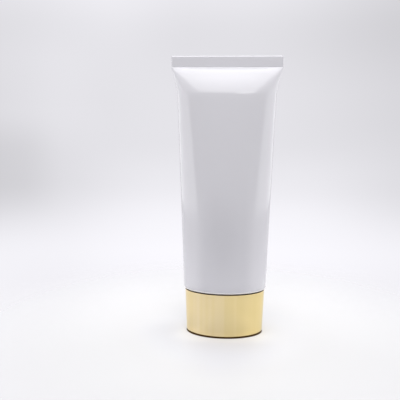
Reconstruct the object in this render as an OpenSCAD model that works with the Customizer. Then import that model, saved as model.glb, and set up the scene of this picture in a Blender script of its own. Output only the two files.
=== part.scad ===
// Cosmetic squeeze tube that stands on its oval cap.
// Every cross section is an oval, or a line at a constant distance outside or inside one.

/* [Sleeve] */
// Round diameter of the sleeve before its lower end is shaped to an oval
sleeve_d = 50; // [46:1:56]
// Length of the sleeve from its lower end to the cut edge
sleeve_len = 164.1; // [120:0.1:220]
// Thickness of the sleeve's wall
sleeve_wall = 0.5; // [0.4:0.05:0.8]
// Width of the oval at the sleeve's lower end
foot_w = 59.6; // [54:0.2:66]
// Width that the straight taper adds between the lower end and the seal
taper_w = 11.4; // [6:0.2:14]
// Height of the flared zone below the seal
flare_h = 18.9; // [12:0.1:36]
// Curvature of the flare's side edges, where 1 is straight
flare_power = 1.35; // [1.1:0.05:2.5]
// Height over which the straight taper eases into the flare
flare_ease = 2; // [1:0.5:8]
// Outward travel of each face for each millimetre of height, where it leaves the seal
crease_slope = 1.4; // [0.6:0.1:2]
// Squareness that the ovals have gained at the seal, where 0 is an ellipse
squareness = 0.8; // [0:0.1:1.2]

/* [Seal] */
// Height of the flat welded end
seal_h = 7.8; // [4:0.2:12]
// Bevel along the cut edge
cut_bevel = 0.3; // [0.1:0.05:0.35]

/* [Head] */
// Height of the head's rim, which shows as a line below the sleeve
rim_h = 0.9; // [0.6:0.1:2]
// Rounding of the rim's lower edge
rim_r = 0.5; // [0.2:0.1:0.5]
// Thickness of the flat shoulder
shoulder_t = 1.6; // [1.2:0.1:2.6]
// Height of the collar that stands inside the sleeve, above the rim
collar_h = 3.4; // [2:0.2:6]
// Thickness of the collar
collar_t = 1; // [0.6:0.1:2]
// Outer diameter of the neck, at the root of its thread
neck_d = 16; // [13:0.5:18]
// Length of the neck below the shoulder
neck_len = 13; // [8:0.5:18]
// Thickness of the neck's side wall
neck_wall = 1.7; // [1.2:0.1:2.4]
// Thickness of the wall across the neck's end
neck_end_t = 1.4; // [1:0.1:2.5]
// Bevel round the neck's end
neck_bevel = 0.5; // [0.2:0.1:1]
// Diameter of the outlet in the neck's end
outlet_d = 7; // [3:0.5:8]

/* [Cap shell] */
// Height of the cap
cap_h = 31.9; // [26:0.1:42]
// Distance from the head's rim in to the cap's mouth, all round
cap_inset = 0.85; // [0:0.05:1.5]
// Amount by which each side draws in from the mouth to the closed end
cap_draft = 1.2; // [0.1:0.1:1.8]
// Thickness of the cap's side wall
cap_wall = 1.3; // [1:0.1:2]
// Thickness of the closed end
cap_floor_t = 1.6; // [1.2:0.1:3]
// Rounding of the outer edge round the closed end
cap_edge_r = 2.4; // [0.6:0.1:3]
// Rounding of the inner corner at the closed end
cap_corner_r = 1; // [0.4:0.1:2]
// Rounding of the mouth's edges
lip_r = 0.3; // [0.1:0.05:0.45]

/* [Cap liner] */
// Thickness of the liner's round wall
liner_wall = 1.6; // [1.2:0.1:2.2]
// Thickness of the disc that closes the outlet
disc_t = 1.4; // [1:0.1:2.4]
// Width of the raised ring on the disc that presses round the outlet
bead_w = 1; // [0.6:0.1:1.6]
// Height of that ring
bead_h = 0.6; // [0.3:0.1:1]
// Thickness of the flange that closes the shell's mouth round the neck
flange_t = 1.4; // [1:0.1:2.4]
// Depth of the flange below the shell's mouth
flange_drop = 1; // [0.6:0.1:3]
// Bevel that leads the neck into the liner's bore
lead_in = 0.6; // [0.2:0.1:1]
// Thickness of the ribs under the flange
rib_t = 1.2; // [0.8:0.1:2]
// Height of the ribs, down from the flange
rib_h = 22; // [8:1:22]

/* [Fits] */
// Gap between the cap's mouth and the head, with the cap closed
mouth_gap = 0.8; // [0.2:0.05:1]
// Gap between the neck and the liner's bore, which holds both threads
thread_room = 1; // [0.6:0.05:1.4]
// Gap between the neck's end and the ring on the liner's disc
seat_gap = 0.15; // [0.1:0.05:0.3]
// Gap between the head's collar and the sleeve
collar_gap = 0.05; // [0.02:0.01:0.2]
// Gap between the liner and the inside of the shell
liner_gap = 0.15; // [0.05:0.05:0.4]

/* [Hidden] */
ring_n = 72; // points on each oval
taper_n = 10; // steps of height along the straight taper
flare_n = 16; // steps of height along the flare
round_n = 5; // steps round an edge
slit = 0.05; // half depth of the hollow where it closes at the seal
soft = 4; // sharpness of the change from the crease to the free oval
square_rise = 3.6; // lateness of the change from ellipses to squarer ovals, up the sleeve

// Heights, from the closed end of the cap upwards
shoulder_z = cap_h + mouth_gap;
sleeve_z = shoulder_z + rim_h;
top_z = sleeve_z + sleeve_len;
seal_z = top_z - seal_h;
flare_z = seal_z - flare_h;
neck_end_z = shoulder_z - neck_len;
bead_z = neck_end_z - seat_gap;
disc_z = bead_z - bead_h;
flange_z = cap_h - flange_drop;

// Half widths of the hollow in the sleeve: flattened, at the foot, and what the flare adds
flat_half = PI * sleeve_d / 4 - sleeve_wall;
foot_half = foot_w / 2 - sleeve_wall;
taper_half = taper_w / 2;
flare_half = flat_half - foot_half - taper_half;

// Distances of the cap's walls from the oval of the hollow at the sleeve's foot
mouth_out = sleeve_wall - cap_inset;
closed_out = mouth_out - cap_draft;
liner_r = neck_d / 2 + thread_room;

// An ellipse of half axes a and b has about the girth 4 (a^q + b^q)^(1/q).
// The girth of the sleeve is about the same at each height, so its half width sets its half depth.
girth_q = ln(2) / ln(PI / 2);
function half_depth(a) = pow(max(pow(flat_half, girth_q) - pow(a, girth_q), 0), 1 / girth_q);

// Height above the start of the flare, eased to 0 below it
function flare_rise(z) = (z - flare_z + norm([z - flare_z, flare_ease])) / 2;

// Share of the way from the foot up to the seal
function up(z) = (min(z, seal_z) - sleeve_z) / (seal_z - sleeve_z);

// Half width of the hollow at height z: a straight taper, and a flare below the seal
function half_width(z) =
    let (out = flare_rise(z) / flare_rise(seal_z))
    foot_half + taper_half * up(z) + flare_half * pow(out, flare_power);

// Half depth of the hollow at height z: the girth's, or the crease's where that is less
function hollow_depth(z) =
    let (free = half_depth(half_width(z)), crease = crease_slope * (seal_z - z))
    min(free, crease) <= slit ? slit : pow(pow(free, -soft) + pow(crease, -soft), -1 / soft);

// The half axes, height and power of the hollow's oval at height z
function hollow(z) =
    let (power = 2 + squareness * pow(up(z), square_rise))
    z >= seal_z ? [flat_half, slit, z, power] : [half_width(z), max(hollow_depth(z), slit), z, power];

// The number s raised to a power, with its sign kept
function raised(s, power) = sign(s) * pow(abs(s), power);

// Points at distance out from the oval [half width, half depth, height, power], an ellipse at power 2
function oval(o, out) = [
    for (k = [0:ring_n - 1])
        let (c = cos(360 * k / ring_n), s = sin(360 * k / ring_n), e = 2 / o[3])
        let (n = [o.y * raised(c, 2 - e), o.x * raised(s, 2 - e)], u = n / norm(n))
        [o.x * raised(c, e) + out * u.x, o.y * raised(s, e) + out * u.y, o.z]
];

// Ovals for a wall's section, given as points [distance out from the oval of the foot, height]
foot = hollow(sleeve_z);
function carry(section) = [for (p = section) oval([foot.x, foot.y, p.y, foot[3]], p.x)];

// Points round a rounded edge of radius r, whose centre is [distance out, height]
function edge(centre, r, from, to) = [
    for (k = [0:round_n]) let (t = from + (to - from) * k / round_n) centre + r * [cos(t), sin(t)]
];

// Heights of the ovals along the hollow, closest together where the flare starts and at the seal
heights = concat(
    [for (k = [0:taper_n - 1]) flare_z - (flare_z - sleeve_z) * pow(1 - k / taper_n, 2)],
    [for (k = [0:flare_n]) flare_z + flare_h * (1 - cos(180 * k / flare_n)) / 2]
);

// Distance of the shell's outer and inner wall from the foot oval at height z
function shell_out(z) = closed_out + cap_draft * z / cap_h;
function shell_in(z) = shell_out(z) - cap_wall;

// Closed skin through a list of rings, capped at its first and last ring
module loft(rings) {
    n = len(rings[0]);
    m = len(rings);
    polyhedron(
        points = [for (r = rings) each r],
        faces = concat(
            [[for (k = [0:n - 1]) k]],
            [for (j = [0:m - 2], k = [0:n - 1])
                let (a = j * n + k, b = j * n + (k + 1) % n, c = a + n, d = b + n)
                each [[a, c, d], [a, d, b]]],
            [[for (k = [n - 1:-1:0]) (m - 1) * n + k]]
        )
    );
}

// The skin runs down the hollow, round the open end and up the outside to the cut edge
module tube_sleeve() {
    color([0.93, 0.93, 0.95])
    loft(concat(
        [for (i = [len(heights) - 1:-1:0]) oval(hollow(heights[i]), 0)],
        [for (z = heights) oval(hollow(z), sleeve_wall)],
        [oval(hollow(top_z - cut_bevel), sleeve_wall),
            oval(hollow(top_z), sleeve_wall - cut_bevel)]
    ));
}

// Rim, collar and shoulder in one skin that runs from the shoulder's underside to its top
module tube_head() {
    collar_z = sleeve_z + collar_h;
    in_collar = -collar_gap - collar_t;
    color([0.9, 0.9, 0.9])
    difference() {
        union() {
            loft(concat(
                carry(edge([sleeve_wall - rim_r, shoulder_z + rim_r], rim_r, -90, 0)),
                carry([[sleeve_wall, sleeve_z], [-collar_gap, sleeve_z]]),
                [oval(hollow(collar_z), -collar_gap), oval(hollow(collar_z), in_collar)],
                carry([[in_collar, shoulder_z + shoulder_t]])
            ));
            rotate_extrude($fn = 96)
                polygon([
                    [0, neck_end_z], [neck_d / 2 - neck_bevel, neck_end_z],
                    [neck_d / 2, neck_end_z + neck_bevel],
                    [neck_d / 2, shoulder_z + shoulder_t / 2], [0, shoulder_z + shoulder_t / 2]
                ]);
        }
        translate([0, 0, neck_end_z + neck_end_t])
            cylinder(d = neck_d - 2 * neck_wall, h = neck_len + shoulder_t, $fn = 96);
        translate([0, 0, neck_end_z - neck_end_t])
            cylinder(d = outlet_d, h = 3 * neck_end_t, $fn = 96);
    }
}

// The skin runs from the closed end up the outside, over the mouth and down to the inner floor
module cap_shell() {
    edge_z = cap_edge_r;
    lip_z = cap_h - lip_r;
    corner_z = cap_floor_t + cap_corner_r;
    color([0.85, 0.68, 0.36])
    loft(carry(concat(
        edge([shell_out(edge_z) - cap_edge_r, edge_z], cap_edge_r, -90, 0),
        edge([shell_out(lip_z) - lip_r, lip_z], lip_r, 0, 90),
        edge([shell_in(lip_z) + lip_r, lip_z], lip_r, 90, 180),
        edge([shell_in(corner_z) - cap_corner_r, corner_z], cap_corner_r, 0, -90)
    )));
}

// Flat outline of the liner where it meets the shell's inner wall at height z
module liner_outline(z) {
    polygon([for (p = oval(foot, shell_in(z) - liner_gap)) [p.x, p.y]]);
}

// Round cup for the neck on a skirt that stands on the shell's floor, with flange and ribs
module cap_liner() {
    outer_r = liner_r + liner_wall;
    rib_z = flange_z - flange_t - rib_h;
    rib_y = liner_r / 2;
    color([0.95, 0.95, 0.95])
    union() {
        rotate_extrude($fn = 96)
            polygon([
                [0, disc_z - disc_t], [liner_r, disc_z - disc_t], [liner_r, cap_floor_t],
                [outer_r, cap_floor_t], [outer_r, flange_z],
                [liner_r + lead_in, flange_z], [liner_r, flange_z - lead_in], [liner_r, disc_z],
                [outlet_d / 2 + bead_w, disc_z], [outlet_d / 2 + bead_w, bead_z],
                [outlet_d / 2, bead_z], [outlet_d / 2, disc_z], [0, disc_z]
            ]);
        difference() {
            union() {
                translate([0, 0, flange_z - flange_t])
                    linear_extrude(flange_t) liner_outline(flange_z - flange_t);
                translate([0, 0, rib_z])
                    linear_extrude(rib_h) intersection() {
                        liner_outline(rib_z);
                        for (side = [-1, 1])
                            translate([0, side * rib_y]) square([foot_w, rib_t], center = true);
                    }
            }
            translate([0, 0, rib_z - flange_t])
                cylinder(r = liner_r + liner_wall / 2, h = rib_h + 3 * flange_t, $fn = 96);
        }
    }
}

tube_sleeve();
tube_head();
cap_shell();
cap_liner();
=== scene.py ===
import math
import bmesh
import bpy
import numpy as np
from mathutils import Matrix, Vector


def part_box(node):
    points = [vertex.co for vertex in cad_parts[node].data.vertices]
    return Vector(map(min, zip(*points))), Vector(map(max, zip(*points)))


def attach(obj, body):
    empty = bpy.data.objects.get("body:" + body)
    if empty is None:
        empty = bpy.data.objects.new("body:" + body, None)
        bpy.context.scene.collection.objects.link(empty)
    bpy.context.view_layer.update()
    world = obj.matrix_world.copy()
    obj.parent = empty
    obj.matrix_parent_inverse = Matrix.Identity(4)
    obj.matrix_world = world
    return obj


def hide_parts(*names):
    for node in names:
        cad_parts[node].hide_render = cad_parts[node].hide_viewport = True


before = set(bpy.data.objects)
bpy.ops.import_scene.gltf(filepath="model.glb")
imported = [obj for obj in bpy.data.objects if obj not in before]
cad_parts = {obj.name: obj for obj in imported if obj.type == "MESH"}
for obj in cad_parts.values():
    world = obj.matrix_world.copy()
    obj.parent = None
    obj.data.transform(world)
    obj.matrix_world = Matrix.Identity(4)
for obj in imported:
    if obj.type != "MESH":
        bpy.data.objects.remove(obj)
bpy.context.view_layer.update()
print("stage: frame loaded")

mm = 0.001
mergeDistance = 1e-7
dissolveDistance = 1e-8
scene = bpy.context.scene
scene.view_settings.view_transform = "Standard"


# Points along a section. Each point is a row of numbers. A stretch has as many points as steps, and leaves
# its last point to the next stretch.

def straight(start, end, steps):
    # Start plus a share of the way to the end, where the share is half of (1 - cosine) and crowds both ends
    share = (1 - np.cos(np.pi * np.arange(steps) / steps)) / 2
    return np.asarray(start, float) + np.outer(share, np.subtract(end, start))


def arc(centre, radius, fromDegrees, toDegrees, steps):
    # Centre plus radius times (cosine, sine) of an angle that runs evenly between two values
    angle = np.radians(np.linspace(fromDegrees, toDegrees, steps, endpoint=False))
    return np.asarray(centre, float) + radius * np.stack([np.cos(angle), np.sin(angle)], axis=1)


# Rings. A surface is a grid of rings, one ring for each point of its section.

def columnAngles(count, crowding):
    # Even angles less a share of the sine of twice the angle, which crowds them at the two ends of the oval
    even = np.linspace(0, 2 * np.pi, count, endpoint=False)
    return even - crowding / 2 * np.sin(2 * even)


def raised(number, power):
    # A number raised to a power, with its sign kept
    return np.sign(number) * np.abs(number) ** power


def ovalRings(halfWidth, halfDepth, height, out, angles, power=2.0):
    # Points (width cos^e, depth sin^e), with e = 2 / power, so an ellipse at power 2 and squarer above it.
    # Each is moved out along the oval's normal (depth cos^(2 - e), width sin^(2 - e)).
    numbers = (halfWidth, halfDepth, height, out, power)
    width, depth, height, out, power = (np.atleast_1d(v).astype(float)[:, None] for v in numbers)
    cosine, sine = np.cos(angles)[None, :], np.sin(angles)[None, :]
    bend = 2 / power
    normalX, normalY = depth * raised(cosine, 2 - bend), width * raised(sine, 2 - bend)
    length = np.hypot(normalX, normalY)
    x = width * raised(cosine, bend) + out * normalX / length
    y = depth * raised(sine, bend) + out * normalY / length
    return np.stack([x, y, np.broadcast_to(height, x.shape)], axis=-1)


def roundRings(radius, height, angles):
    # Circle points (radius cos, radius sin), where the radius may differ from point to point
    radius, height = np.atleast_1d(radius).astype(float), np.atleast_1d(height).astype(float)
    radius = radius[:, None] if radius.ndim == 1 else radius
    x = radius * np.cos(angles)[None, :]
    y = radius * np.sin(angles)[None, :]
    return np.stack([x, y, np.broadcast_to(height[:, None], x.shape)], axis=-1)


def ringPiece(name, rings, loop=False):
    # Quads join each ring to the next, and in a loop the last to the first; points that coincide are merged
    rows, columns = rings.shape[:2]
    ids = np.arange(rows * columns).reshape(rows, columns)
    low = ids if loop else ids[:-1]
    high = np.roll(ids, -1, 0) if loop else ids[1:]
    quads = np.stack([low, np.roll(low, -1, 1), np.roll(high, -1, 1), high], axis=-1).reshape(-1, 4)
    points = rings.reshape(-1, 3)
    a, b, c, d = (points[quads[:, i]] for i in range(4))
    volume = np.sum(a * np.cross(b, c)) + np.sum(a * np.cross(c, d))
    if volume < 0:
        quads = quads[:, ::-1]
    mesh = bpy.data.meshes.new(name)
    mesh.from_pydata(points.tolist(), [], quads.tolist())
    shape = bmesh.new()
    shape.from_mesh(mesh)
    bmesh.ops.remove_doubles(shape, verts=shape.verts, dist=mergeDistance)
    bmesh.ops.dissolve_degenerate(shape, edges=shape.edges, dist=dissolveDistance)
    shape.to_mesh(mesh)
    shape.free()
    mesh.polygons.foreach_set("use_smooth", [True] * len(mesh.polygons))
    mesh.update()
    piece = bpy.data.objects.new(name, mesh)
    scene.collection.objects.link(piece)
    return piece


def dress(piece, material, body, slot, *nodes):
    piece.data.materials.clear()
    piece.data.materials.append(material)
    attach(piece, body)
    if nodes:
        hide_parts(*nodes)


# Shader maths. A Value wraps a socket, and arithmetic on Values adds Math nodes.

class Value:
    def __init__(self, tree, socket):
        self.tree = tree
        self.socket = socket

    def math(self, operation, first, second=None):
        items = {0: first} if second is None else {0: first, 1: second}
        return addNode(self.tree, "ShaderNodeMath", {"operation": operation}, items)

    def __add__(self, other):
        return self.math("ADD", self, other)

    def __sub__(self, other):
        return self.math("SUBTRACT", self, other)

    def __rsub__(self, other):
        return self.math("SUBTRACT", other, self)

    def __mul__(self, other):
        return self.math("MULTIPLY", self, other)

    def __truediv__(self, other):
        return self.math("DIVIDE", self, other)

    def __rtruediv__(self, other):
        return self.math("DIVIDE", other, self)

    def __pow__(self, other):
        return self.math("POWER", self, other)

    def __rpow__(self, other):
        return self.math("POWER", other, self)

    def atMost(self, other):
        return self.math("MINIMUM", self, other)

    def size(self):
        return self.math("ABSOLUTE", self)

    def between(self, low, high):
        # 0 at low, 1 at high, smooth and flat at both ends; low may be the greater of the two
        limits = {"Value": self, "From Min": low, "From Max": high}
        return addNode(self.tree, "ShaderNodeMapRange", {"interpolation_type": "SMOOTHSTEP"}, limits)

    __radd__ = __add__
    __rmul__ = __mul__


def addNode(tree, kind, settings, sockets, output=0):
    node = tree.nodes.new(kind)
    for key, setting in settings.items():
        setattr(node, key, setting)
    for key, item in sockets.items():
        if isinstance(item, Value):
            tree.links.new(item.socket, node.inputs[key])
        else:
            node.inputs[key].default_value = item
    return Value(tree, node.outputs[output])


def mixColour(tree, share, first, second):
    return addNode(tree, "ShaderNodeMix", {"data_type": "RGBA"}, {0: share, 6: first, 7: second}, 2)


def noise(tree, place, size, detail=2.0):
    # Soft random values round 0.5, whose lumps are about size across, in metres
    return addNode(tree, "ShaderNodeTexNoise", {}, {"Vector": place, "Scale": 1 / size, "Detail": detail})


def split(tree, vector):
    node = tree.nodes.new("ShaderNodeSeparateXYZ")
    tree.links.new(vector.socket, node.inputs[0])
    return [Value(tree, output) for output in node.outputs]


def newMaterial(name):
    material = bpy.data.materials.new(name)
    material.use_nodes = True
    tree = material.node_tree
    tree.nodes.clear()
    place = addNode(tree, "ShaderNodeTexCoord", {}, {}, "Object")
    return material, tree, place


def closeMaterial(tree, sockets):
    shader = addNode(tree, "ShaderNodeBsdfPrincipled", {}, sockets)
    output = tree.nodes.new("ShaderNodeOutputMaterial")
    tree.links.new(shader.socket, output.inputs["Surface"])


def bump(tree, height, depth, under=None):
    # Height from 0 to 1 stands for a relief of that depth, in metres
    sockets = {"Height": height, "Distance": depth, "Strength": 1.0}
    if under is not None:
        sockets["Normal"] = under
    return addNode(tree, "ShaderNodeBump", {}, sockets)


# Finishes

sleeveFinish = {
    "colour": (0.755, 0.745, 0.79, 1),
    "shadeColour": (0.73, 0.72, 0.765, 1),
    "cast": 52 * mm,
    "sealShadeColour": (0.695, 0.688, 0.725, 1),  # painted shade, a duller tone just below the seal, as in the photograph
    "sealShadeFrom": 9 * mm,
    "sealShadeTo": 4 * mm,
    "sealShadeHalf": 34 * mm,  # half the width over which it shows
    "sealShadeFull": 20.4 * mm,  # half the width over which it is full
    "sealShadeEdge": 0.1 * mm,
    "lowShadeColour": (0.67, 0.662, 0.707, 1),  # painted shade, a deeper tone low down in the middle, as in the photograph
    "lowHalf": 22 * mm,
    "lowFull": 12.1 * mm,
    "lowFrom": 125 * mm,
    "lowTo": 60 * mm,
    "roughness": 0.1,
    "roughnessSpread": 0.05,
    "wave": 26 * mm,
    "waveDepth": 0.03 * mm,
    "peel": 0.9 * mm,
    "peelDepth": 0.0006 * mm,
}


def sleevePlastic():
    # Glossy white film: slow waves of the soft wall, a fine orange peel, a cast that drifts a little, and
    # painted shade just below the seal and low in the middle
    material, tree, place = newMaterial("sleevePlastic")
    look = sleeveFinish
    colour = mixColour(tree, noise(tree, place, look["cast"]), look["colour"], look["shadeColour"])
    x, y, z = split(tree, place)
    # painted shade: a duller band just below the seal
    sealShade = z.between(sealZ - look["sealShadeFrom"], sealZ - look["sealShadeTo"])
    sealShade = sealShade * z.between(sealZ + look["sealShadeEdge"], sealZ)
    sealShade = sealShade * x.size().between(look["sealShadeHalf"], look["sealShadeFull"])
    colour = mixColour(tree, sealShade, colour, look["sealShadeColour"])
    # painted shade, deeper low down in the middle of the wall
    low = z.between(look["lowFrom"], look["lowTo"]) * x.size().between(look["lowHalf"], look["lowFull"])
    colour = mixColour(tree, low, colour, look["lowShadeColour"])
    rough = look["roughness"] + (noise(tree, place, look["wave"], 4.0) - 0.5) * look["roughnessSpread"]
    waves = bump(tree, noise(tree, place, look["wave"], 1.0), look["waveDepth"])
    peel = bump(tree, noise(tree, place, look["peel"]), look["peelDepth"], waves)
    closeMaterial(tree, {"Base Color": colour, "Roughness": rough, "Normal": peel, "IOR": 1.5})
    return material


goldFinish = {
    "colour": (0.80, 0.668, 0.43, 1),  # painted reflection: the colour turns from pale at one side to deeper at the other
    "deepColour": (0.79, 0.64, 0.305, 1),
    "drift": 24 * mm,
    "driftNoise": 0.2,  # share of the drift that is uneven
    "cloud": 42 * mm,
    "bandColour": (0.745, 0.60, 0.29, 1),  # faint upright bands, which stand in for reflections
    "band": 7 * mm,
    "bandEdges": (0.4, 0.6),
    "bandShare": 0.45,
    "lipShadeColour": (0.10, 0.065, 0.035, 1),  # painted shade, dark bronze over the mouth's edge, where the gap under the tube's rim is shaded
    "lipDrop": 0.3 * mm,
    "lipFade": 0.12 * mm,
    "roughness": 0.035,
    "roughnessSpread": 0.03,
    "wave": 14 * mm,
    "waveDepth": 0.004 * mm,
}


def goldPlating():
    # A mirror-like film over moulded plastic: the plastic's slow waves show through it. Its colour holds
    # painted reflections and painted shade over the mouth's edge
    material, tree, place = newMaterial("goldPlating")
    look = goldFinish
    x, y, z = split(tree, place)
    # painted reflection across the width, partly uneven
    drift = x.between(-look["drift"], look["drift"]) * (1 - look["driftNoise"])
    drift = drift + noise(tree, place, look["cloud"]) * look["driftNoise"]
    colour = mixColour(tree, drift, look["colour"], look["deepColour"])
    alongWidth = {"W": x, "Scale": 1 / look["band"], "Detail": 1.0}
    bands = addNode(tree, "ShaderNodeTexNoise", {"noise_dimensions": "1D"}, alongWidth)
    bandShare = bands.between(*look["bandEdges"]) * look["bandShare"]
    colour = mixColour(tree, bandShare, colour, look["bandColour"])
    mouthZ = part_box("cap_shell")[1].z
    # painted shade over the mouth's edge, for the shaded gap under the tube's rim
    lip = z.between(mouthZ - look["lipDrop"] - look["lipFade"], mouthZ - look["lipDrop"])
    colour = mixColour(tree, lip, colour, look["lipShadeColour"])
    rough = look["roughness"] + (noise(tree, place, look["wave"], 5.0) - 0.5) * look["roughnessSpread"]
    waves = bump(tree, noise(tree, place, look["wave"], 1.0), look["waveDepth"])
    closeMaterial(tree, {"Base Color": colour, "Metallic": 1.0, "Roughness": rough, "Normal": waves})
    return material


mouldedFinish = {
    "tintSize": 12 * mm,
    "roughnessSize": 5 * mm,
    "roughnessSpread": 0.1,
    "grain": 0.35 * mm,
    "grainDepth": 0.002 * mm,
    "partingWidth": 0.12 * mm,
    "partingDepth": 0.05 * mm,
}

headFinish = {
    "colour": (0.83, 0.81, 0.80, 1),
    "shadeColour": (0.80, 0.78, 0.775, 1),
    "roughness": 0.34,
}

linerFinish = {
    "colour": (0.82, 0.815, 0.80, 1),
    "shadeColour": (0.79, 0.785, 0.77, 1),
    "roughness": 0.42,
}


def mouldedPlastic(name, finish):
    # Satin moulded plastic with a fine spark grain and the raised line where the two mould halves met
    material, tree, place = newMaterial(name)
    look = mouldedFinish
    across = split(tree, place)[1]
    tint = mixColour(tree, noise(tree, place, look["tintSize"]), finish["colour"], finish["shadeColour"])
    spread = (noise(tree, place, look["roughnessSize"], 4.0) - 0.5) * look["roughnessSpread"]
    rough = finish["roughness"] + spread
    grain = bump(tree, noise(tree, place, look["grain"]), look["grainDepth"])
    line = 1 - across.size().between(0, look["partingWidth"])
    relief = bump(tree, line, look["partingDepth"], grain)
    closeMaterial(tree, {"Base Color": tint, "Roughness": rough, "Normal": relief})
    return material


capGold = goldPlating()
headWhite = mouldedPlastic("headWhite", headFinish)
linerWhite = mouldedPlastic("linerWhite", linerFinish)
print("stage: materials made")


# Sleeve

sleeveShape = {
    "wall": 0.5 * mm,
    "taper": 5.7 * mm,  # half width that the straight taper adds
    "flareHeight": 18.9 * mm,
    "flarePower": 1.35,
    "flareEase": 2 * mm,
    "creaseSlope": 1.4,
    "squareness": 0.8,  # power above an ellipse's that the ovals have gained at the seal
    "squareRise": 3.6,
    "leastDepth": 1e-7,  # keeps the hollow open up to its seam
    "leastRest": 1e-12,
    "sealHeight": 7.8 * mm,
    "press": 0.04 * mm,  # depth to which the sealing jaws flatten the seal
    "pressRun": 0.15 * mm,
    "groove": 0.1 * mm,  # depth and height of the hollow that the jaws' edge leaves along the seal's foot
    "grooveHeight": 0.6 * mm,
    "bevel": 0.4 * mm,
    "bevelHeight": 0.55 * mm,
    "footRound": 0.14 * mm,
    "soft": 4,
    "columns": 320,
    "crowding": 0.8,
    "taperRows": 46,
    "taperCrowding": 1.6,  # above 1, so the rows crowd towards the flare
    "flareRows": 84,
    "insideShare": 3,  # each third height is used inside
}

sleeveLow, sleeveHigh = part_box("tube_sleeve")
headLow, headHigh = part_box("tube_head")
wall = sleeveShape["wall"]
footZ, cutZ = sleeveLow.z, sleeveHigh.z
sealZ = cutZ - sleeveShape["sealHeight"]
flareZ = sealZ - sleeveShape["flareHeight"]
flatHalf = sleeveHigh.x - wall
footHalf = headHigh.x - wall
girthPower = math.log(2) / math.log(math.pi / 2)


def hollowHalves(z):
    # Half width: the foot's, plus a straight taper, plus a power of the eased height above the flare's start.
    # Half depth: what the same girth leaves for that width, or the crease's where it is less, softly joined.
    # Power: an ellipse's at the foot, plus a power of the share of the way up to the seal.
    shape = sleeveShape
    z = np.minimum(z, sealZ)
    power = 2 + shape["squareness"] * np.clip((z - footZ) / (sealZ - footZ), 0, 1) ** shape["squareRise"]
    eased = (z - flareZ + np.hypot(z - flareZ, shape["flareEase"])) / 2
    full = (sealZ - flareZ + math.hypot(sealZ - flareZ, shape["flareEase"])) / 2
    flare = flatHalf - footHalf - shape["taper"]
    width = footHalf + shape["taper"] * (z - footZ) / (sealZ - footZ)
    width = width + flare * (eased / full) ** shape["flarePower"]
    rest = np.maximum(flatHalf ** girthPower - width ** girthPower, shape["leastRest"])
    free = rest ** (1 / girthPower)
    crease = np.maximum(shape["creaseSlope"] * (sealZ - z), shape["leastDepth"])
    depth = (free ** -shape["soft"] + crease ** -shape["soft"]) ** (-1 / shape["soft"])
    return width, np.maximum(depth, shape["leastDepth"]), power


def makeSleeve():
    # One skin: down the hollow from its seam, round the foot, up the outside, and over the cut edge to the
    # line along its middle
    shape = sleeveShape
    angles = columnAngles(shape["columns"], shape["crowding"])
    below = (1 - np.arange(shape["taperRows"]) / shape["taperRows"]) ** shape["taperCrowding"]
    taper = flareZ - (flareZ - footZ) * below
    flare = straight([flareZ], [sealZ], shape["flareRows"])[:, 0]
    heights = np.concatenate([taper, flare, [sealZ]])
    inside = np.concatenate([[sealZ], heights[::-1][1::shape["insideShare"]], [footZ + shape["footRound"]]])
    footRound, bevel, bevelHeight = shape["footRound"], shape["bevel"], shape["bevelHeight"]
    foot = np.vstack([
        arc((footRound, footZ + footRound), footRound, 180, 270, 5),
        arc((wall - footRound, footZ + footRound), footRound, 270, 360, 5),
    ])
    outside = heights[heights > footZ + footRound]
    pressed = wall - shape["press"]
    grooveTop = (pressed, sealZ + shape["grooveHeight"])
    groove = straight((pressed - shape["groove"], sealZ + shape["pressRun"]), grooveTop, 4)
    seal = straight(grooveTop, (pressed, cutZ - bevelHeight), 10)
    edge = straight((pressed, cutZ - bevelHeight), (pressed - bevel, cutZ), 6)
    section = np.vstack([
        np.stack([np.zeros_like(inside), inside], axis=1),
        foot,
        np.stack([np.full_like(outside, wall), outside], axis=1),
        groove,
        seal,
        edge,
        [(pressed - bevel, cutZ), (0, cutZ)],
    ])
    out, height = section.T
    width, depth, power = hollowHalves(height)
    rings = ovalRings(width, depth, height, out, angles, power)
    rings[0, :, 1] = 0  # the two inner faces meet in the seam
    rings[-1, :, 1] = 0  # the cut edge closes along its midline
    return ringPiece("sleeve", rings)


sleeve = makeSleeve()
dress(sleeve, sleevePlastic(), "tube", "sleeve_white", "tube_sleeve")
print("stage: sleeve made")


# Sections that turn from the oval to a circle. Each point is (distance out from the foot's oval, radius,
# height, roundness). A ring lies on the oval at roundness 0, on the circle at 1, and on the line between them
# elsewhere.

footWidth, footDepth = (float(v[0]) for v in hollowHalves(np.array([footZ]))[:2])


def mixedRings(section, angles, relief=0.0):
    out, radius, height, roundness = np.asarray(section, float).T
    radii = radius[:, None] + relief
    flat = np.ones_like(height)
    ovals = ovalRings(flat * footWidth, flat * footDepth, height, out, angles)
    circles = roundRings(radii * np.ones((1, len(angles))), height, angles)
    share = roundness[:, None, None]
    return ovals * (1 - share) + circles * share


def ovalPart(points):
    # Adds a radius of 0 and a roundness of 0 to points (distance out, height)
    points = np.atleast_2d(points)
    nothing = np.zeros(len(points))
    return np.stack([points[:, 0], nothing, points[:, 1], nothing], axis=1)


def roundPart(points):
    # Adds a distance of 0 and a roundness of 1 to points (radius, height)
    points = np.atleast_2d(points)
    nothing = np.zeros(len(points))
    return np.stack([nothing, points[:, 0], points[:, 1], nothing + 1], axis=1)


def crossing(out, radius, height, toRound, steps):
    # Rings in one plane, from the oval to the circle or back
    start = (out, radius, height, 0 if toRound else 1)
    end = (out, radius, height, 1 if toRound else 0)
    return straight(start, end, steps)


threadShape = {
    "pitch": 3 * mm,
    "depth": 0.7 * mm,
    "crest": 0.25 * mm,  # half the width of the flat crest
    "flank": 0.5 * mm,
    "start": 0.15,  # turns below the top of the thread
    "turns": 2.4,
    "fade": 0.09,
}


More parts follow.
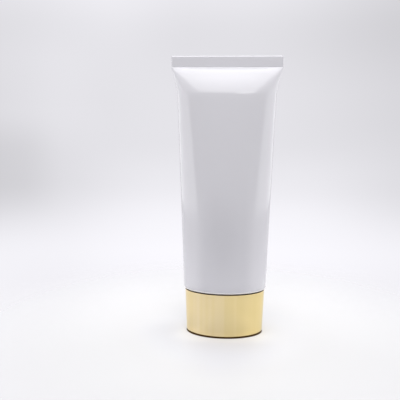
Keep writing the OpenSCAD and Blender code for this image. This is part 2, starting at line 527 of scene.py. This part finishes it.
def threadRelief(section, angles, top, phase):
    # How far down the helix a point lies, in turns, is its depth below the top over the pitch, less the turn
    # of its angle. The whole turns and the angle place it along the thread, and the rest gives its distance
    # from the crest.
    shape = threadShape
    around = (angles / (2 * np.pi))[None, :]
    down = (top - section[:, 2:3]) / shape["pitch"] - around - phase
    whole = np.floor(down)
    fromCrest = np.abs(down - whole - 0.5) * shape["pitch"]
    ridge = np.clip((shape["crest"] + shape["flank"] - fromCrest) / shape["flank"], 0, 1)
    along = whole + around
    ends = np.minimum(along - shape["start"], shape["start"] + shape["turns"] - along) / shape["fade"]
    ends = np.clip(ends, 0, 1)
    smooth = (3 - 2 * ridge) * ridge ** 2 * (3 - 2 * ends) * ends ** 2
    return smooth * shape["depth"] * (section[:, 3:4] == 1)


def atRadius(section, radius):
    # The rings that stand at a radius, to a billionth of a metre
    return np.abs(section[:, 1] - radius) < 1e-9


# Head: rim, shoulder, collar and neck in one moulding

headShape = {
    "rimHeight": 0.9 * mm,
    "rimRound": 0.5 * mm,
    "rimTopRound": 0.12 * mm,
    "shoulder": 1.6 * mm,
    "collarGap": 0.22 * mm,
    "collarHeight": 3.3 * mm,
    "collar": 0.8 * mm,
    "collarRound": 0.3 * mm,
    "neckRadius": 8 * mm,
    "neckFillet": 0.8 * mm,
    "neckBore": 6.3 * mm,
    "neckRound": 0.5 * mm,
    "endWall": 1.4 * mm,
    "outlet": 3.5 * mm,
    "outletRound": 0.3 * mm,
    "threadDrop": 1.2 * mm,
    "threadPhase": 0.0,  # in turns
    "threadRows": 100,
    "columns": 256,
}


def makeHead():
    # A closed loop: out along the shoulder's top, over the collar and rim, in along the underside, down the
    # threaded neck, in across its end, and up through the outlet and the bore
    shape = headShape
    angles = columnAngles(shape["columns"], 0.0)
    underZ = footZ - shape["rimHeight"]
    topZ = underZ + shape["shoulder"]
    collarZ = footZ + shape["collarHeight"]
    endZ = headLow.z
    floorZ = endZ + shape["endWall"]
    collarOut = -shape["collarGap"]
    collarIn = collarOut - shape["collar"]
    collarRound, rimRound, topRound = shape["collarRound"], shape["rimRound"], shape["rimTopRound"]
    neck, bore, outlet = shape["neckRadius"], shape["neckBore"], shape["outlet"]
    fillet, neckRound, outletRound = shape["neckFillet"], shape["neckRound"], shape["outletRound"]
    threadRows = shape["threadRows"]
    section = np.vstack([
        crossing(collarIn, bore, topZ, False, 8),
        ovalPart(straight((collarIn, topZ), (collarIn, collarZ - collarRound), 6)),
        ovalPart(arc((collarIn + collarRound, collarZ - collarRound), collarRound, 180, 90, 5)),
        ovalPart(arc((collarOut - collarRound, collarZ - collarRound), collarRound, 90, 0, 5)),
        ovalPart(straight((collarOut, collarZ - collarRound), (collarOut, footZ), 6)),
        ovalPart(straight((collarOut, footZ), (wall - topRound, footZ), 4)),
        ovalPart(arc((wall - topRound, footZ - topRound), topRound, 90, 0, 5)),
        ovalPart(arc((wall - rimRound, underZ + rimRound), rimRound, 0, -90, 8)),
        crossing(wall - rimRound, neck + fillet, underZ, True, 14),
        roundPart(arc((neck + fillet, underZ - fillet), fillet, 90, 180, 6)),
        roundPart(np.linspace((neck, underZ - fillet), (neck, endZ + neckRound), threadRows, False)),
        roundPart(arc((neck - neckRound, endZ + neckRound), neckRound, 0, -90, 6)),
        roundPart(straight((neck - neckRound, endZ), (outlet + outletRound, endZ), 6)),
        roundPart(arc((outlet + outletRound, endZ + outletRound), outletRound, 270, 180, 5)),
        roundPart(straight((outlet, endZ + outletRound), (outlet, floorZ), 4)),
        roundPart(straight((outlet, floorZ), (bore - fillet, floorZ), 5)),
        roundPart(arc((bore - fillet, floorZ + fillet), fillet, -90, 0, 6)),
        roundPart(straight((bore, floorZ + fillet), (bore, topZ), 8)),
    ])
    relief = threadRelief(section, angles, underZ - shape["threadDrop"], shape["threadPhase"])
    onNeck = atRadius(section, neck)
    return ringPiece("headMoulding", mixedRings(section, angles, relief * onNeck[:, None]), loop=True)


head = makeHead()
dress(head, headWhite, "tube", "head_white", "tube_head")
print("stage: head made")


# Cap shell

shellShape = {
    "draft": 1.2 * mm,
    "wall": 1.3 * mm,
    "floor": 1.6 * mm,
    "edgeRound": 2.4 * mm,
    "cornerRound": 1.0 * mm,
    "lipRound": 0.3 * mm,
    "columns": 288,
    "crowding": 0.3,
}

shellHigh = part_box("cap_shell")[1]
capHeight = shellHigh.z
mouthOut = shellHigh.x - footWidth


def shellOut(z):
    return mouthOut - shellShape["draft"] * (1 - z / capHeight)


def shellIn(z):
    return shellOut(z) - shellShape["wall"]


def makeShell():
    # From the middle of the closed end out, up the outside, over the mouth, and down the inside to the middle
    shape = shellShape
    angles = columnAngles(shape["columns"], shape["crowding"])
    edge, corner, lip, floor = shape["edgeRound"], shape["cornerRound"], shape["lipRound"], shape["floor"]
    lipZ = capHeight - lip
    underOut = shellOut(edge) - edge
    floorOut = shellIn(floor + corner) - corner
    wallOut = straight((shellOut(edge), edge), (shellOut(lipZ), lipZ), 26)
    wallIn = straight((shellIn(lipZ), lipZ), (shellIn(floor + corner), floor + corner), 20)
    section = np.vstack([
        crossing(underOut, 0, 0, False, 10),
        ovalPart(arc((underOut, edge), edge, -90, 0, 14)),
        ovalPart(wallOut),
        ovalPart(arc((shellOut(lipZ) - lip, lipZ), lip, 0, 90, 6)),
        ovalPart(arc((shellIn(lipZ) + lip, lipZ), lip, 90, 180, 6)),
        ovalPart(wallIn),
        ovalPart(arc((floorOut, floor + corner), corner, 0, -90, 8)),
        crossing(floorOut, 0, floor, True, 8),
        [(floorOut, 0, floor, 1)],
    ])
    return ringPiece("capShell", mixedRings(section, angles))


shell = makeShell()
dress(shell, capGold, "cap", "cap_gold", "cap_shell")
print("stage: cap shell made")


# Cap liner

linerShape = {
    "bore": 9 * mm,
    "wall": 1.6 * mm,
    "discDrop": 0.75 * mm,  # from the neck's end down to the disc, past the ring
    "disc": 1.4 * mm,
    "ringIn": 3.5 * mm,
    "ringOut": 4.5 * mm,
    "ringHeight": 0.6 * mm,
    "flange": 1.4 * mm,
    "gap": 0.15 * mm,
    "leadIn": 0.6 * mm,
    "edgeRound": 0.25 * mm,
    "threadDrop": 0.9 * mm,
    "threadPhase": 0.5,
    "threadRows": 96,
    "ribWidth": 1.2 * mm,
    "ribHeight": 22 * mm,
    "ribAside": 4.5 * mm,
    "ribInWall": 0.3,  # share of the wall that the rib's inner end passes
    "ribInFlange": 0.2 * mm,
    "ribPower": 8,
    "ribEnd": 0.9,  # size of its two end faces, as a share of the rest
    "ribColumns": 32,
    "columns": 256,
}

linerLow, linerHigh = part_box("cap_liner")


def makeLiner():
    # From the middle of the disc's top out over the ring, up the threaded bore, out along the flange, round
    # its edge and back, down the outside to the shell's floor, and up inside to the middle of the disc's
    # underside
    shape = linerShape
    angles = columnAngles(shape["columns"], 0.0)
    bore, tubeOut = shape["bore"], shape["bore"] + shape["wall"]
    discZ = headLow.z - shape["discDrop"]
    flangeZ, baseZ = linerHigh.z, linerLow.z
    underZ = flangeZ - shape["flange"]
    soft, lead = shape["edgeRound"], shape["leadIn"]
    rim = shellIn(underZ) - shape["gap"]
    ringIn, ringOut, ringTop = shape["ringIn"], shape["ringOut"], discZ + shape["ringHeight"]
    threadLow, threadHigh = discZ + soft, flangeZ - lead
    underDisc = discZ - shape["disc"]
    section = np.vstack([
        roundPart(straight((0, discZ), (ringIn, discZ), 6)),
        roundPart(straight((ringIn, discZ), (ringIn, ringTop - soft), 3)),
        roundPart(arc((ringIn + soft, ringTop - soft), soft, 180, 90, 4)),
        roundPart(arc((ringOut - soft, ringTop - soft), soft, 90, 0, 4)),
        roundPart(straight((ringOut, ringTop - soft), (ringOut, discZ), 3)),
        roundPart(straight((ringOut, discZ), (bore - soft, discZ), 5)),
        roundPart(arc((bore - soft, threadLow), soft, -90, 0, 4)),
        roundPart(np.linspace((bore, threadLow), (bore, threadHigh), shape["threadRows"], False)),
        roundPart(straight((bore, threadHigh), (bore + lead, flangeZ), 4)),
        crossing(rim - soft, bore + lead, flangeZ, False, 12),
        ovalPart(arc((rim - soft, flangeZ - soft), soft, 90, 0, 5)),
        ovalPart(arc((rim - soft, underZ + soft), soft, 0, -90, 5)),
        crossing(rim - soft, tubeOut + soft, underZ, True, 8),
        roundPart(arc((tubeOut + soft, underZ - soft), soft, 90, 180, 4)),
        roundPart(straight((tubeOut, underZ - soft), (tubeOut, baseZ + soft), 8)),
        roundPart(arc((tubeOut - soft, baseZ + soft), soft, 0, -90, 4)),
        roundPart(straight((tubeOut - soft, baseZ), (bore, baseZ), 3)),
        roundPart(straight((bore, baseZ), (bore, underDisc), 8)),
        roundPart(straight((bore, underDisc), (0, underDisc), 8)),
        roundPart((0, underDisc)),
    ])
    relief = threadRelief(section, angles, flangeZ - shape["threadDrop"], shape["threadPhase"])
    onBore = atRadius(section, bore) & (section[:, 2] > threadLow) & (section[:, 2] < threadHigh)
    return ringPiece("capLiner", mixedRings(section, angles, -relief * onBore[:, None]))


def ribRings(x0, x1, y, z0, z1):
    # Rounded rectangles, superellipses of a high power, carried along the rib and drawn in at both ends
    shape = linerShape
    ends, face, bend = shape["edgeRound"], shape["ribEnd"], 2 / shape["ribPower"]
    stations = np.array([(x0, 0.0), (x0, face), (x0 + ends, 1.0), (x1 - ends, 1.0), (x1, face), (x1, 0.0)])
    turn = columnAngles(shape["ribColumns"], 0.0)
    across = raised(np.cos(turn), bend) * shape["ribWidth"] / 2
    upward = raised(np.sin(turn), bend) * (z1 - z0) / 2
    x, share = stations[:, 0:1], stations[:, 1:2]
    return np.stack([x + 0 * turn, y + share * across, (z0 + z1) / 2 + share * upward], axis=-1)


def makeRibs():
    shape = linerShape
    topZ = linerHigh.z - shape["flange"]
    lowZ = topZ - shape["ribHeight"]
    out = shellIn(lowZ) - shape["gap"]
    farSide = (shape["ribAside"] + shape["ribWidth"]) / (footDepth + out)
    outer = (footWidth + out) * math.sqrt(1 - farSide ** 2)
    inner = shape["bore"] + shape["wall"] * shape["ribInWall"]
    highZ = topZ + shape["ribInFlange"]
    ribs = []
    for side in (-1, 1):
        for along in (-1, 1):
            y = side * shape["ribAside"]
            name = f"linerRib{len(ribs) + 1}"
            start = math.sqrt(inner ** 2 - y ** 2)
            ribs.append(ringPiece(name, ribRings(along * start, along * outer, y, lowZ, highZ)))
    return ribs


liner = makeLiner()
dress(liner, linerWhite, "cap", "liner_white", "cap_liner")
for rib in makeRibs():
    dress(rib, linerWhite, "cap", "liner_white")
print("stage: liner made")


# Floor, light and camera

# Each patch of the floor's paint has a colour, a share, and pairs of places where it starts and is full
floorShape = {
    "radius": 0.5,
    "rows": 40,
    "columns": 96,
    "frontColour": (0.73, 0.728, 0.736, 1),  # darker in front, where the panel overhead is strongest
    "backColour": (0.94, 0.937, 0.95, 1),
    "turn": 0.12,
    "sideColour": (0.70, 0.70, 0.71, 1),
    "side": (0.04, 0.15),
    "sideShare": 0.3,
    "nearColour": (0.86, 0.875, 0.93, 1),  # cooler close to the gold, which throws warm light on the floor
    "near": (0.075, 0.024),
    "nearShare": 0.8,
    "shadeColour": (0.645, 0.652, 0.705, 1),  # painted shade in front and to the left, besides the cast one
    "shade": (0.095, 0.024),
    "shadeNarrow": 2.0,  # the forward shade is this many times longer than wide
    "shadeFront": (-0.01, -0.03),
    "shadeShare": 0.9,
    "aside": (0.07, 0.04),
    "asideLeft": (-0.025, -0.042),
    "asideFront": (0.025, -0.005),
    "asideShare": 0.32,
    "contactShadowColour": (0.10, 0.05, 0.014, 1),  # painted contact shadow, dark under the cap and at its edge
    "underEdge": (1.02, 0.985),  # shares of the cap's footprint, whose edge is at 1
    "roughness": 0.5,
    "specular": 0.2,
    "fade": (0.24, 0.08),  # the floor is clear beyond the first and solid within the second
}


def floorTone(tree, x, y, distance):
    # Paint from front to back, then each patch over it with its own share
    look = floorShape
    tone = mixColour(tree, y.between(-look["turn"], look["turn"]), look["frontColour"], look["backColour"])
    tone = mixColour(tree, x.size().between(*look["side"]) * look["sideShare"], tone, look["sideColour"])
    tone = mixColour(tree, distance.between(*look["near"]) * look["nearShare"], tone, look["nearColour"])
    narrower = (x * x * look["shadeNarrow"] ** 2 + y * y) ** 0.5
    shade = y.between(*look["shadeFront"]) * narrower.between(*look["shade"]) * look["shadeShare"]
    aside = x.between(*look["asideLeft"]) * y.between(*look["asideFront"])
    aside = aside * distance.between(*look["aside"]) * look["asideShare"]
    tone = mixColour(tree, (shade + aside).atMost(1), tone, look["shadeColour"])
    across, along = x / (footWidth + shellOut(0)), y / (footDepth + shellOut(0))
    footprint = (across * across + along * along) ** 0.5
    # painted contact shadow under the cap's footprint and at its edge
    return mixColour(tree, footprint.between(*look["underEdge"]), tone, look["contactShadowColour"])


def makeFloor():
    # Rings of a flat disc, whose radii grow by a square, round the place where the tube stands
    look = floorShape
    radii = look["radius"] * (np.arange(look["rows"]) / (look["rows"] - 1)) ** 2
    rings = roundRings(radii, np.zeros(look["rows"]), columnAngles(look["columns"], 0.0))
    floor = ringPiece("studioFloor", rings)
    material, tree, place = newMaterial("floorPaint")
    x, y, z = split(tree, place)
    distance = (x * x + y * y) ** 0.5
    tone = floorTone(tree, x, y, distance)
    sockets = {"Base Color": tone, "Roughness": look["roughness"], "Specular IOR Level": look["specular"]}
    closeMaterial(tree, {**sockets, "Alpha": distance.between(*look["fade"])})
    floor.data.materials.append(material)


flagShape = {
    "middle": -0.02,
    "distance": -0.2,
    "width": 0.25,
    "height": 0.11,
    "power": 4,
    "columns": 64,
    "rings": (0.0, 0.6, 1.0),
    "colour": (0.06, 0.06, 0.065, 1),
    "shadeColour": (0.05, 0.05, 0.055, 1),
    "weave": 0.01,
    "roughness": 0.9,
    "solid": (1.0, 0.25),  # shares of the way to the edge, where it starts to be solid and where it is
}


def makeFlag():
    # A dark scrim low in front of the tube, out of the picture, which the glossy sleeve mirrors: rings of a
    # superellipse, solid in the middle and clear at its edge
    look = flagShape
    halfWidth, halfHeight, bend = look["width"] / 2, look["height"] / 2, 2 / look["power"]
    turn = columnAngles(look["columns"], 0.0)
    share = np.array(look["rings"])[:, None]
    acrossFlag = look["middle"] + share * raised(np.cos(turn), bend) * halfWidth
    upFlag = halfHeight * (1 + share * raised(np.sin(turn), bend))
    awayFlag = np.full_like(upFlag, look["distance"])
    flag = ringPiece("darkFlag", np.stack([acrossFlag, awayFlag, upFlag], axis=-1))
    material, tree, place = newMaterial("flagCloth")
    tone = mixColour(tree, noise(tree, place, look["weave"]), look["colour"], look["shadeColour"])
    x, y, z = split(tree, place)
    across, upward = (x - look["middle"]) / halfWidth, z / halfHeight - 1
    solid = ((across * across + upward * upward) ** 0.5).between(*look["solid"])
    closeMaterial(tree, {"Base Color": tone, "Roughness": look["roughness"], "Alpha": solid})
    flag.data.materials.append(material)
    flag.visible_camera = False


# Levels of the room, where 1 is white. A direction's x, y and z run from -1 to 1, and a pair gives where a
# change starts and is full.
roomShape = {
    "wallLevel": 0.67,  # the room as it is seen and mirrored
    "wallTint": (1.0, 0.99, 1.04, 1),
    "wallBack": 0.115,  # how much paler the wall straight behind the tube is
    "back": (0.88, 1.0),
    "wallTop": 0.34,
    "top": (0.17, 0.5),
    "wallFoot": 0.2,  # how much paler it turns below, where it sweeps forward as the floor
    "foot": (-0.07, -0.22),
    "behind": (0.6, 0.85),
    "frontLight": 0.222,  # the room as it lights the tube: dim in front, brighter behind and overhead
    "backLight": 0.24,
    "backward": (-0.3, 0.8),
    "overLight": 0.05,
    "upward": (0.25, 1.0),
    "lightTint": (1.0, 0.995, 1.01, 1),
}

# The wall behind the tube is a little uneven: paler at the upper left, darker to the right. Each row says how
# much paler a patch is, which direction limits it, where it starts and is full, and the same for its heights.
wallPatches = [
    (0.077, "x", (-0.06, -0.24), (0.06, 0.24)),
    (0.055, "aside", (0.34, 0.12), (0.0, -0.09), (-0.2, -0.12)),
    (0.045, "x", (-0.2, -0.33), (-0.05, 0.06), (0.24, 0.13)),
    (0.04, "aside", (0.28, 0.44), (-0.12, -0.2)),
    (-0.048, "x", (0.02, 0.3), (-0.08, 0.04)),
    (-0.0192, "x", (0.02, 0.3), (0.08, 0.26)),
    (-0.02, "z", (0.08, 0.18), (0.26, 0.2)),
    (-0.05, "x", (-0.3, -0.38), (-0.16, -0.08), (0.06, -0.02)),
]


def unevenness(x, z):
    # The sum of the patches: each is its level times one smooth step for each of its limits
    directions = {"x": x, "aside": x.size(), "z": z}
    total = 0
    for level, direction, limits, *heights in wallPatches:
        patch = directions[direction].between(*limits)
        for low, high in heights:
            patch = patch * z.between(low, high)
        total = total + patch * level
    return total


def lightWorld():
    # What is seen or mirrored is a pale wall all round, and what lights the tube is the room's own soft light
    look = roomShape
    world = bpy.data.worlds.new("studioWorld")
    scene.world = world
    world.use_nodes = True
    tree = world.node_tree
    tree.nodes.clear()
    x, y, z = split(tree, addNode(tree, "ShaderNodeTexCoord", {}, {}, "Generated"))
    wallLevel = look["wallLevel"] + y.between(*look["back"]) * look["wallBack"]
    wallLevel = wallLevel + z.between(*look["top"]) * look["wallTop"]
    wallLevel = wallLevel + z.between(*look["foot"]) * look["wallFoot"]
    wallLevel = wallLevel + y.between(*look["behind"]) * unevenness(x, z)
    lightLevel = look["frontLight"] + y.between(*look["backward"]) * look["backLight"]
    lightLevel = lightLevel + z.between(*look["upward"]) * look["overLight"]
    kinds = ("Camera", "Glossy", "Transmission")
    rays = [addNode(tree, "ShaderNodeLightPath", {}, {}, f"Is {kind} Ray") for kind in kinds]
    seen = (rays[0] + rays[1] + rays[2]).atMost(1)
    wall = addNode(tree, "ShaderNodeBackground", {}, {"Color": look["wallTint"], "Strength": wallLevel})
    light = addNode(tree, "ShaderNodeBackground", {}, {"Color": look["lightTint"], "Strength": lightLevel})
    both = addNode(tree, "ShaderNodeMixShader", {}, {0: seen, 1: light, 2: wall})
    output = tree.nodes.new("ShaderNodeOutputWorld")
    tree.links.new(both.socket, output.inputs["Surface"])


# Each lamp's place, the point it is aimed at, its two sides in metres, and its power in watts
lamps = {
    "leftPanel": ((-0.5, 0.0, 0.16), (0, 0, 0.16), (0.9, 0.28), 1.42),
    "rightPanel": ((0.5, 0.02, 0.16), (0, 0, 0.16), (0.86, 0.28), 1.3561),
    "topPanel": ((0.0, -0.28, 0.58), (0, -0.28, 0), (0.62, 0.96), 4.1),
    "ridgeLamp": ((0.12, -0.45, 0.385), (0, 0, 0.17), (0.15, 0.05), 0.13),
}


def softBox(name, place, aim, size, power):
    light = bpy.data.lights.new(name, "AREA")
    light.shape = "RECTANGLE"
    light.size, light.size_y = size
    light.energy = power
    lamp = bpy.data.objects.new(name, light)
    lamp.location = place
    lamp.rotation_euler = (Vector(aim) - Vector(place)).to_track_quat("-Z", "Y").to_euler()
    lamp.visible_camera = False
    scene.collection.objects.link(lamp)


viewpoint = {
    "place": (0.00074, -0.3665, 0.1394),
    "turnLeft": 3.0,
    "down": 6.68,
    "roll": 0.328,
    "lens": 46.1,
    "sensor": 36.0,
    "nearest": 0.01,
}


def makeCamera():
    # Axes from the compass turn and the downward pitch, then rolled about the line of sight
    turn, down, roll = (math.radians(viewpoint[key]) for key in ("turnLeft", "down", "roll"))
    ahead = Vector((-math.sin(turn) * math.cos(down), math.cos(turn) * math.cos(down), -math.sin(down)))
    level = Vector((math.cos(turn), math.sin(turn), 0))
    upright = level.cross(ahead)
    right = level * math.cos(roll) + upright * math.sin(roll)
    up = upright * math.cos(roll) - level * math.sin(roll)
    data = bpy.data.cameras.new("viewCamera")
    data.sensor_width = viewpoint["sensor"]
    data.lens = viewpoint["lens"]
    data.clip_start = viewpoint["nearest"]
    camera = bpy.data.objects.new("viewCamera", data)
    axes = Matrix((right, up, -ahead)).transposed().to_4x4()
    camera.matrix_world = Matrix.Translation(viewpoint["place"]) @ axes
    scene.collection.objects.link(camera)
    scene.camera = camera


makeFloor()
makeFlag()
lightWorld()
for lampName, lampSettings in lamps.items():
    softBox(lampName, *lampSettings)
makeCamera()
print("stage: studio made")
